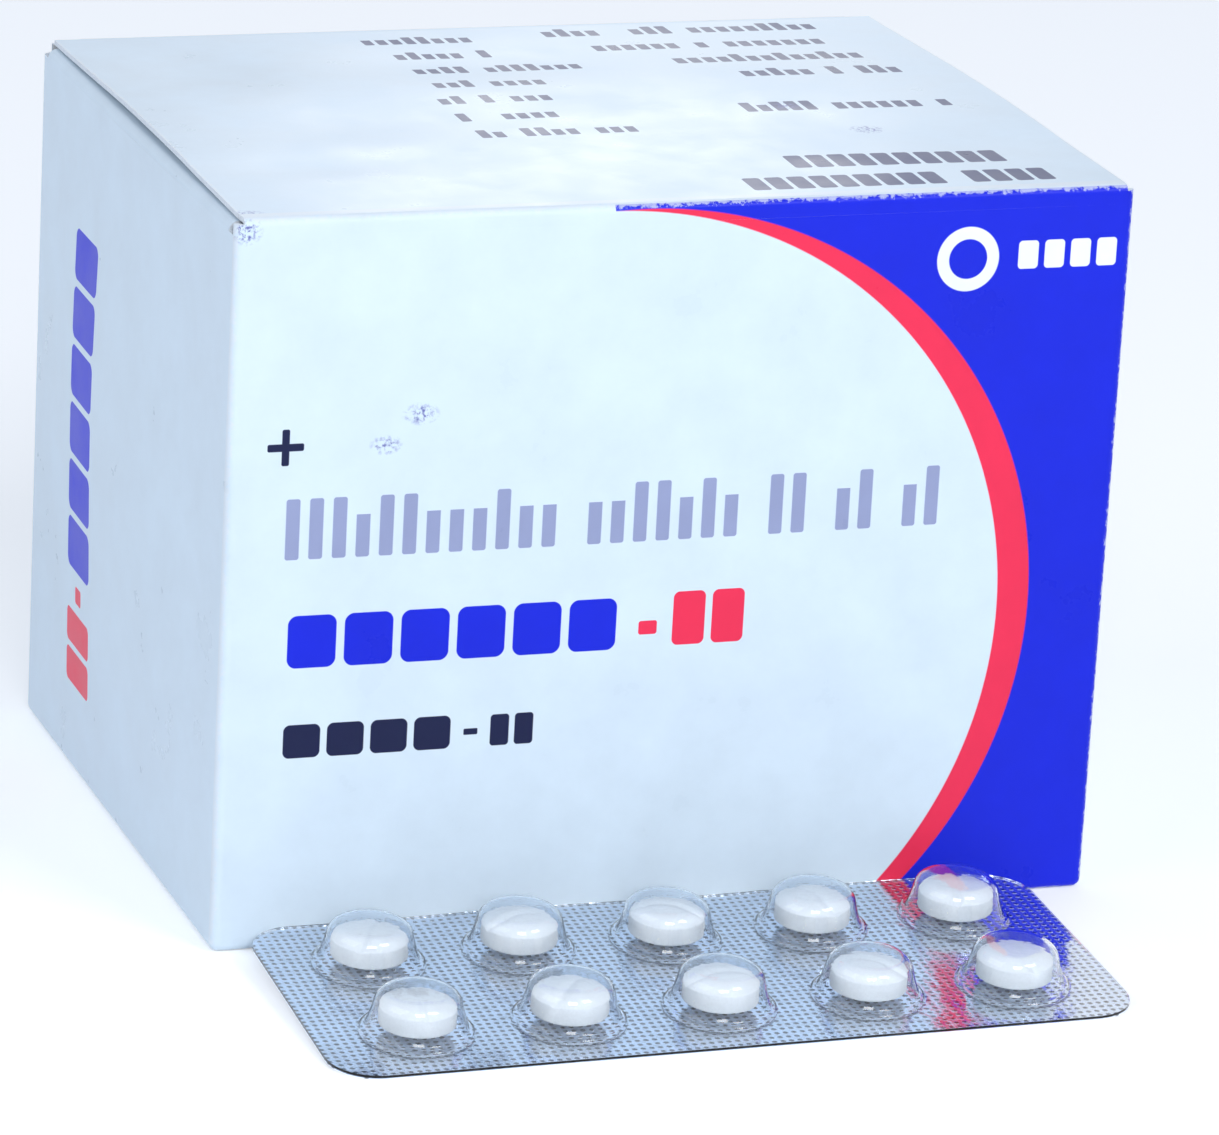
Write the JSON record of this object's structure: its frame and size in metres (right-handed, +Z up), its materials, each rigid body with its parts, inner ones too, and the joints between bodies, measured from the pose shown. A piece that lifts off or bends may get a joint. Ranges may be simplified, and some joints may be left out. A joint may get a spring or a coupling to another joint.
{
  "type": "carton of blister strips",
  "caption": "Printed card carton with a hinged tuck lid, packed with flat blister strips of tablets, and a loose strip leaning along its front.",
  "frame": {"origin": "centre of the carton's underside, on the surface that it stands on", "axes": "+Z up, -Y out of the printed front panel, +X along the front to the right"},
  "size_m": [0.096, 0.1113, 0.0778],
  "materials": {
    "carton_card": "white coated board, printed in blue and red",
    "blister_film": "clear formed film, glossy",
    "blister_foil": "bright foil with a fine sealed knurl",
    "tablet": "pressed white powder, faintly satin",
    "packed_strip": "sealed strip of film, foil and tablets"
  },
  "bodies": {
    "carton": {"carton_body": "carton_card", "loose_strip_film": "blister_film", "loose_strip_foil": "blister_foil", "tablet_01": "tablet", "tablet_02": "tablet", "tablet_03": "tablet", "tablet_04": "tablet", "tablet_05": "tablet", "tablet_06": "tablet", "tablet_07": "tablet", "tablet_08": "tablet", "tablet_09": "tablet", "tablet_10": "tablet", "strip_01": "packed_strip", "strip_02": "packed_strip", "strip_03": "packed_strip", "strip_04": "packed_strip", "strip_05": "packed_strip", "strip_06": "packed_strip", "strip_07": "packed_strip", "strip_08": "packed_strip", "strip_09": "packed_strip", "strip_10": "packed_strip", "strip_11": "packed_strip", "strip_12": "packed_strip", "strip_13": "packed_strip", "strip_14": "packed_strip", "strip_15": "packed_strip", "strip_16": "packed_strip", "strip_17": "packed_strip", "strip_18": "packed_strip", "strip_19": "packed_strip", "strip_20": "packed_strip", "strip_21": "packed_strip", "strip_22": "packed_strip", "strip_23": "packed_strip", "strip_24": "packed_strip", "strip_25": "packed_strip", "strip_26": "packed_strip", "strip_27": "packed_strip", "strip_28": "packed_strip", "strip_29": "packed_strip"},
    "lid": {"carton_lid": "carton_card"}
  },
  "joints": [
    {"name": "lid_hinge", "type": "hinge", "parent": "carton", "child": "lid", "pos_m": [0, -0.03754, 0.0767], "axis": [1, 0, 0], "range_deg": [0, 180]}
  ]
}
